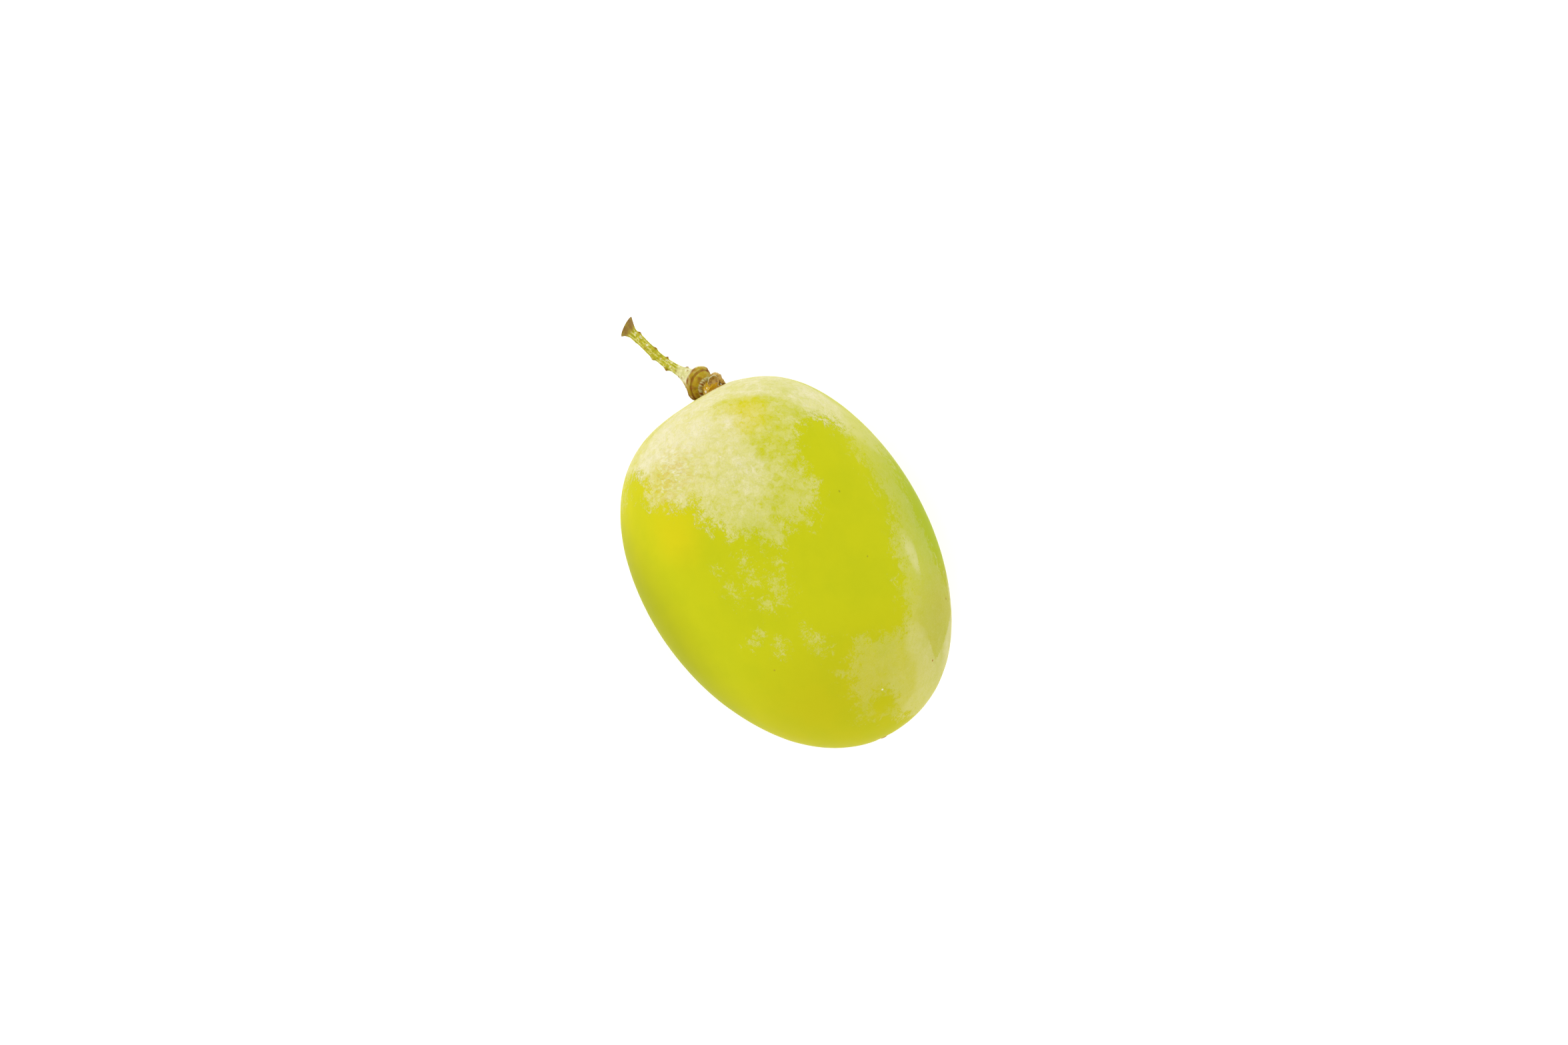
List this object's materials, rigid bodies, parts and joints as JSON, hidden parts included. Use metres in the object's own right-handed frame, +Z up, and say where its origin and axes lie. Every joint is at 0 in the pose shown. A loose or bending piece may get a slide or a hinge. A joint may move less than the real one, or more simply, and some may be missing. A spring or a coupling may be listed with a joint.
{
  "type": "green grape berry with its stalk",
  "caption": "Single oval green table grape with its short stalk, swollen receptacle and torn heel, lying on its side",
  "frame": {"origin": "centre of the small flat patch that the berry rests on, under its widest station", "axes": "+X from the stalk to the blossom tip along the berry's long axis, +Y across it, +Z up from the surface it lies on"},
  "size_m": [0.0369, 0.022, 0.0218],
  "materials": {
    "grape_skin": "yellow-green translucent skin, satin, with patches of pale waxy bloom",
    "stalk": "green fibrous stalk with brown warts, ochre receptacle and brown torn heel",
    "dry_calyx": "withered tan scale with a pale thin edge"
  },
  "bodies": {
    "root": {"berry": "grape_skin", "pedicel": "stalk", "calyx_scale": "dry_calyx"}
  },
  "joints": []
}
